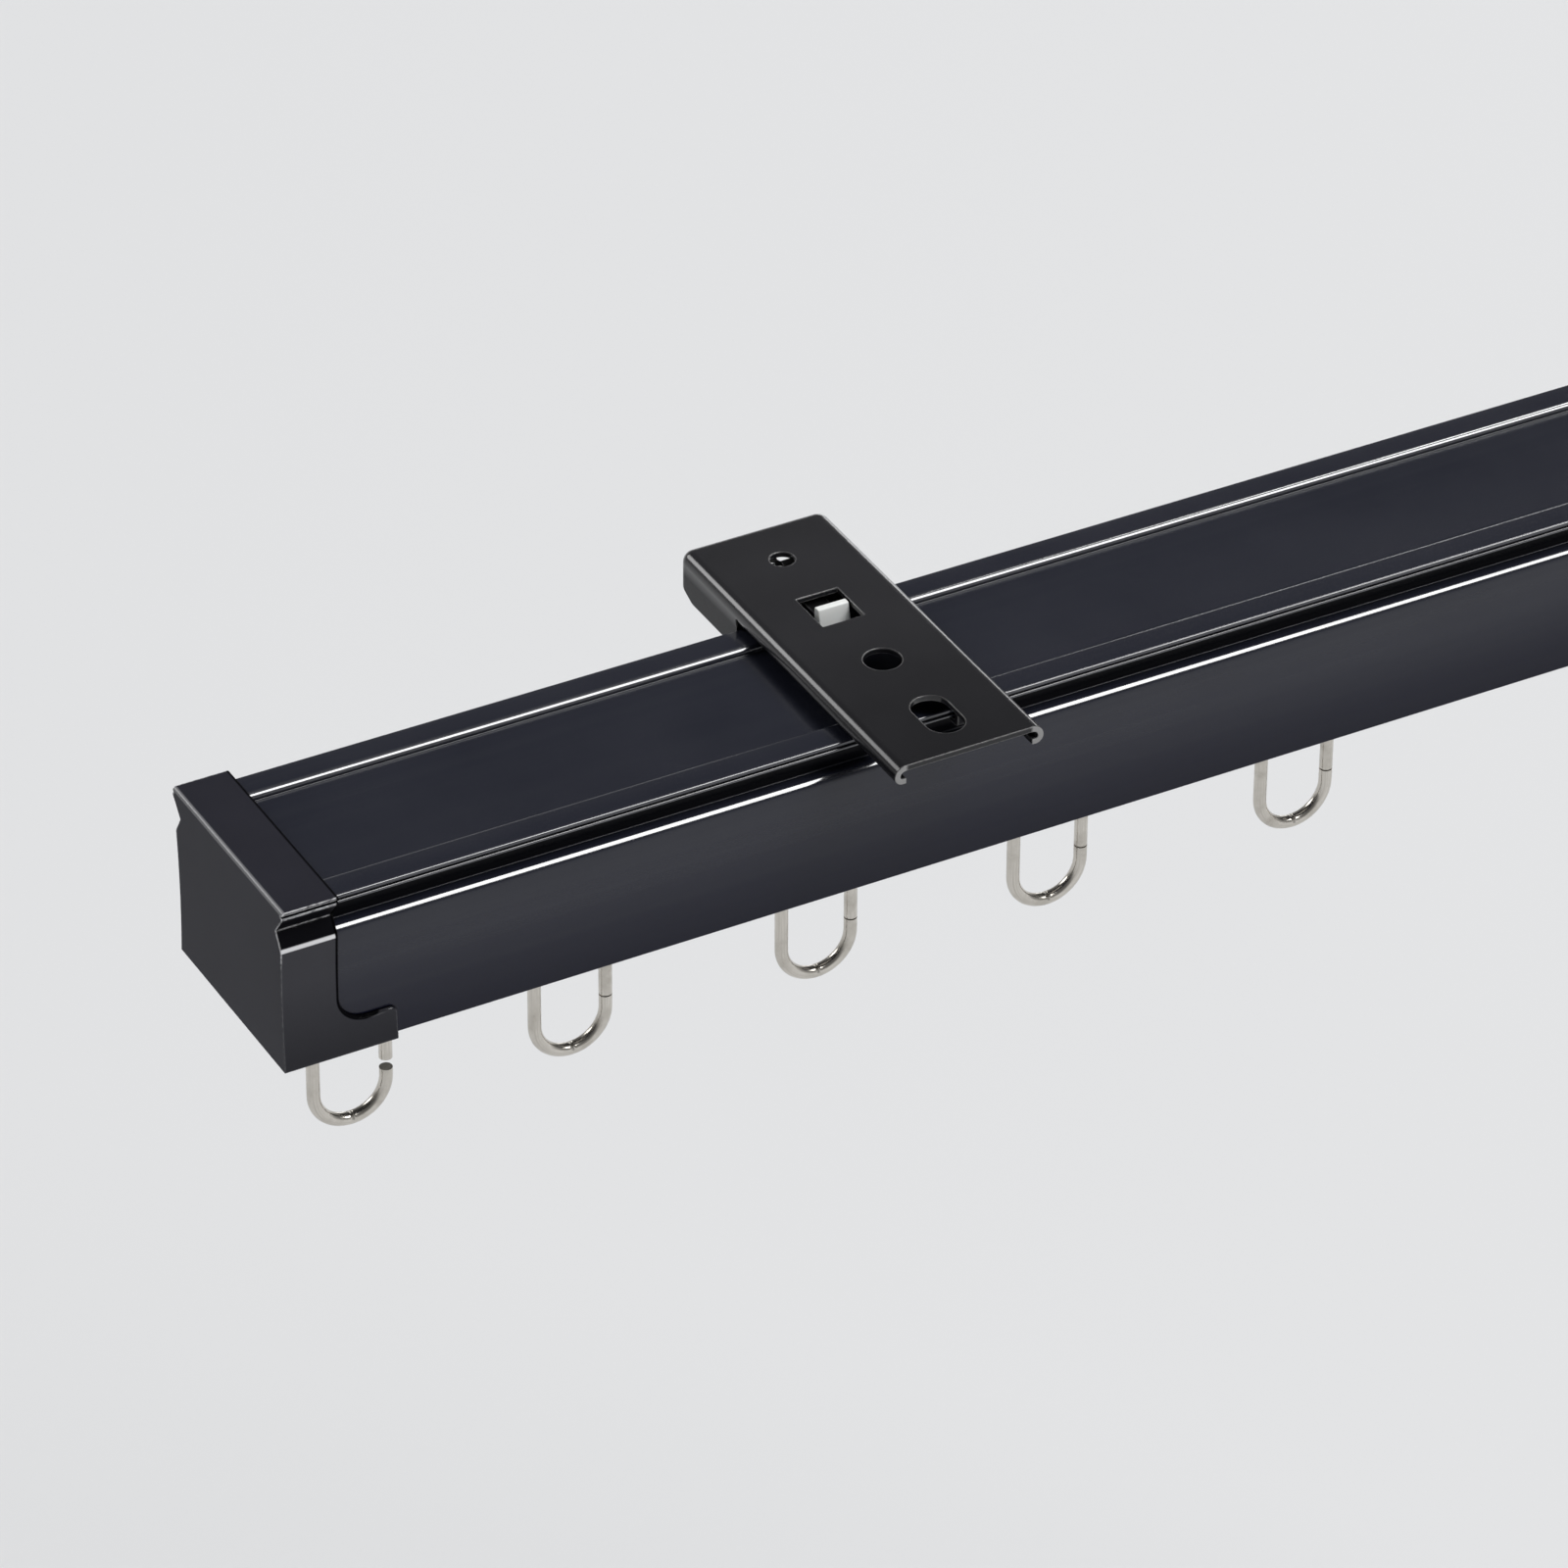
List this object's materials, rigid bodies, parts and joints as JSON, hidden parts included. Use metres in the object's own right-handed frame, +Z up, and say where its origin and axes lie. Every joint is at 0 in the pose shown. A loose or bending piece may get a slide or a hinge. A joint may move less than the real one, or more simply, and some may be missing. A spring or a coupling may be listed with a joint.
{
  "type": "ceiling curtain track",
  "caption": "Black ceiling curtain track with moulded end caps, clip-on ceiling brackets, wheeled carriers and oval hanging rings.",
  "frame": {"origin": "on the ceiling plane, midway between the round screw holes of the two brackets", "axes": "+X along the track, away from the end cap seen in the picture; +Y away from the room side, towards the brackets' latches; +Z up, out of the ceiling face"},
  "size_m": [0.32, 0.055, 0.0479],
  "materials": {
    "track": "black anodised, satin",
    "cap": "black moulded, satin",
    "bracket": "black powder coat, satin",
    "latch": "black moulded, satin",
    "button": "white moulded nylon",
    "spring": "bright wire",
    "runner": "translucent white nylon",
    "core": "rolled steel sheet",
    "plated": "bright nickel plate",
    "wire": "polished stainless wire"
  },
  "bodies": {
    "track": {"track_profile": "track", "end_cap_left": "cap", "end_cap_right": "cap", "bracket_left_plate": "bracket", "bracket_left_spring": "spring", "bracket_right_plate": "bracket", "bracket_right_spring": "spring"},
    "latch_left": {"bracket_left_latch": "latch", "bracket_left_button": "button"},
    "latch_right": {"bracket_right_latch": "latch", "bracket_right_button": "button"},
    "ring_left_end": {"end_ring_left": "wire"},
    "ring_right_end": {"end_ring_right": "wire"},
    "carrier_1": {"carrier_1_body": "runner", "carrier_1_core": "core", "carrier_1_base_plate": "plated", "carrier_1_axle": "plated"},
    "carrier_1_front": {"carrier_1_wheel_front": "runner"},
    "carrier_1_back": {"carrier_1_wheel_back": "runner"},
    "carrier_1_swivel": {"carrier_1_swivel_eye": "plated"},
    "carrier_1_loop": {"carrier_1_ring": "wire"},
    "carrier_2": {"carrier_2_body": "runner", "carrier_2_core": "core", "carrier_2_base_plate": "plated", "carrier_2_axle": "plated"},
    "carrier_2_front": {"carrier_2_wheel_front": "runner"},
    "carrier_2_back": {"carrier_2_wheel_back": "runner"},
    "carrier_2_swivel": {"carrier_2_swivel_eye": "plated"},
    "carrier_2_loop": {"carrier_2_ring": "wire"},
    "carrier_3": {"carrier_3_body": "runner", "carrier_3_core": "core", "carrier_3_base_plate": "plated", "carrier_3_axle": "plated"},
    "carrier_3_front": {"carrier_3_wheel_front": "runner"},
    "carrier_3_back": {"carrier_3_wheel_back": "runner"},
    "carrier_3_swivel": {"carrier_3_swivel_eye": "plated"},
    "carrier_3_loop": {"carrier_3_ring": "wire"},
    "carrier_4": {"carrier_4_body": "runner", "carrier_4_core": "core", "carrier_4_base_plate": "plated", "carrier_4_axle": "plated"},
    "carrier_4_front": {"carrier_4_wheel_front": "runner"},
    "carrier_4_back": {"carrier_4_wheel_back": "runner"},
    "carrier_4_swivel": {"carrier_4_swivel_eye": "plated"},
    "carrier_4_loop": {"carrier_4_ring": "wire"},
    "carrier_5": {"carrier_5_body": "runner", "carrier_5_core": "core", "carrier_5_base_plate": "plated", "carrier_5_axle": "plated"},
    "carrier_5_front": {"carrier_5_wheel_front": "runner"},
    "carrier_5_back": {"carrier_5_wheel_back": "runner"},
    "carrier_5_swivel": {"carrier_5_swivel_eye": "plated"},
    "carrier_5_loop": {"carrier_5_ring": "wire"}
  },
  "joints": [
    {"name": "latch_left_slide", "type": "slide", "parent": "track", "child": "latch_left", "axis": [0, 1, 0], "range_m": [0, 0.0019], "stiffness_N_per_m": 3000, "springref_m": -0.0015, "deforming": ["bracket_left_spring"]},
    {"name": "latch_right_slide", "type": "slide", "parent": "track", "child": "latch_right", "axis": [0, 1, 0], "range_m": [0, 0.0019], "stiffness_N_per_m": 3000, "springref_m": -0.0015, "deforming": ["bracket_right_spring"]},
    {"name": "ring_left_end_swing", "type": "hinge", "parent": "track", "child": "ring_left_end", "pos_m": [-0.1449, 0.00435, -0.0306], "axis": [1, 0, 0], "range_deg": [-90, 90]},
    {"name": "ring_right_end_swing", "type": "hinge", "parent": "track", "child": "ring_right_end", "pos_m": [0.1449, 0.00435, -0.0306], "axis": [1, 0, 0], "range_deg": [-90, 90]},
    {"name": "carrier_1_slide", "type": "slide", "parent": "track", "child": "carrier_1", "axis": [1, 0, 0], "range_m": [-0.018, 0.0194]},
    {"name": "carrier_1_wheel_front_spin", "type": "hinge", "parent": "carrier_1", "child": "carrier_1_front", "pos_m": [-0.1148, 0.00435, -0.0134], "axis": [0, 1, 0], "continuous": true},
    {"name": "carrier_1_wheel_back_spin", "type": "hinge", "parent": "carrier_1", "child": "carrier_1_back", "pos_m": [-0.1148, 0.00435, -0.0134], "axis": [0, 1, 0], "continuous": true},
    {"name": "carrier_1_turn", "type": "hinge", "parent": "carrier_1", "child": "carrier_1_swivel", "pos_m": [-0.1148, 0.00435, -0.028], "axis": [0, 0, 1], "continuous": true},
    {"name": "carrier_1_ring_swing", "type": "hinge", "parent": "carrier_1_swivel", "child": "carrier_1_loop", "pos_m": [-0.1148, 0.00435, -0.0306], "axis": [1, 0, 0], "range_deg": [-90, 90]},
    {"name": "carrier_2_slide", "type": "slide", "parent": "track", "child": "carrier_2", "axis": [1, 0, 0], "range_m": [-0.0194, 0.0182]},
    {"name": "carrier_2_wheel_front_spin", "type": "hinge", "parent": "carrier_2", "child": "carrier_2_front", "pos_m": [-0.08035, 0.00435, -0.0134], "axis": [0, 1, 0], "continuous": true},
    {"name": "carrier_2_wheel_back_spin", "type": "hinge", "parent": "carrier_2", "child": "carrier_2_back", "pos_m": [-0.08035, 0.00435, -0.0134], "axis": [0, 1, 0], "continuous": true},
    {"name": "carrier_2_turn", "type": "hinge", "parent": "carrier_2", "child": "carrier_2_swivel", "pos_m": [-0.08035, 0.00435, -0.028], "axis": [0, 0, 1], "continuous": true},
    {"name": "carrier_2_ring_swing", "type": "hinge", "parent": "carrier_2_swivel", "child": "carrier_2_loop", "pos_m": [-0.08035, 0.00435, -0.0306], "axis": [1, 0, 0], "range_deg": [-90, 90]},
    {"name": "carrier_3_slide", "type": "slide", "parent": "track", "child": "carrier_3", "axis": [1, 0, 0], "range_m": [-0.0182, 0.0213]},
    {"name": "carrier_3_wheel_front_spin", "type": "hinge", "parent": "carrier_3", "child": "carrier_3_front", "pos_m": [-0.04715, 0.00435, -0.0134], "axis": [0, 1, 0], "continuous": true},
    {"name": "carrier_3_wheel_back_spin", "type": "hinge", "parent": "carrier_3", "child": "carrier_3_back", "pos_m": [-0.04715, 0.00435, -0.0134], "axis": [0, 1, 0], "continuous": true},
    {"name": "carrier_3_turn", "type": "hinge", "parent": "carrier_3", "child": "carrier_3_swivel", "pos_m": [-0.04715, 0.00435, -0.028], "axis": [0, 0, 1], "continuous": true},
    {"name": "carrier_3_ring_swing", "type": "hinge", "parent": "carrier_3_swivel", "child": "carrier_3_loop", "pos_m": [-0.04715, 0.00435, -0.0306], "axis": [1, 0, 0], "range_deg": [-90, 90]},
    {"name": "carrier_4_slide", "type": "slide", "parent": "track", "child": "carrier_4", "axis": [1, 0, 0], "range_m": [-0.0213, 0.0506]},
    {"name": "carrier_4_wheel_front_spin", "type": "hinge", "parent": "carrier_4", "child": "carrier_4_front", "pos_m": [-0.0108, 0.00435, -0.0134], "axis": [0, 1, 0], "continuous": true},
    {"name": "carrier_4_wheel_back_spin", "type": "hinge", "parent": "carrier_4", "child": "carrier_4_back", "pos_m": [-0.0108, 0.00435, -0.0134], "axis": [0, 1, 0], "continuous": true},
    {"name": "carrier_4_turn", "type": "hinge", "parent": "carrier_4", "child": "carrier_4_swivel", "pos_m": [-0.0108, 0.00435, -0.028], "axis": [0, 0, 1], "continuous": true},
    {"name": "carrier_4_ring_swing", "type": "hinge", "parent": "carrier_4_swivel", "child": "carrier_4_loop", "pos_m": [-0.0108, 0.00435, -0.0306], "axis": [1, 0, 0], "range_deg": [-90, 90]},
    {"name": "carrier_5_slide", "type": "slide", "parent": "track", "child": "carrier_5", "axis": [1, 0, 0], "range_m": [-0.0506, 0.077]},
    {"name": "carrier_5_wheel_front_spin", "type": "hinge", "parent": "carrier_5", "child": "carrier_5_front", "pos_m": [0.055, 0.00435, -0.0134], "axis": [0, 1, 0], "continuous": true},
    {"name": "carrier_5_wheel_back_spin", "type": "hinge", "parent": "carrier_5", "child": "carrier_5_back", "pos_m": [0.055, 0.00435, -0.0134], "axis": [0, 1, 0], "continuous": true},
    {"name": "carrier_5_turn", "type": "hinge", "parent": "carrier_5", "child": "carrier_5_swivel", "pos_m": [0.055, 0.00435, -0.028], "axis": [0, 0, 1], "continuous": true},
    {"name": "carrier_5_ring_swing", "type": "hinge", "parent": "carrier_5_swivel", "child": "carrier_5_loop", "pos_m": [0.055, 0.00435, -0.0306], "axis": [1, 0, 0], "range_deg": [-90, 90]}
  ],
  "couplings": [
    {"joint": "carrier_1_wheel_front_spin", "follows": "carrier_1_slide", "rad_per_m": 166.67},
    {"joint": "carrier_1_wheel_back_spin", "follows": "carrier_1_slide", "rad_per_m": 166.67},
    {"joint": "carrier_2_wheel_front_spin", "follows": "carrier_2_slide", "rad_per_m": 166.67},
    {"joint": "carrier_2_wheel_back_spin", "follows": "carrier_2_slide", "rad_per_m": 166.67},
    {"joint": "carrier_3_wheel_front_spin", "follows": "carrier_3_slide", "rad_per_m": 166.67},
    {"joint": "carrier_3_wheel_back_spin", "follows": "carrier_3_slide", "rad_per_m": 166.67},
    {"joint": "carrier_4_wheel_front_spin", "follows": "carrier_4_slide", "rad_per_m": 166.67},
    {"joint": "carrier_4_wheel_back_spin", "follows": "carrier_4_slide", "rad_per_m": 166.67},
    {"joint": "carrier_5_wheel_front_spin", "follows": "carrier_5_slide", "rad_per_m": 166.67},
    {"joint": "carrier_5_wheel_back_spin", "follows": "carrier_5_slide", "rad_per_m": 166.67}
  ]
}
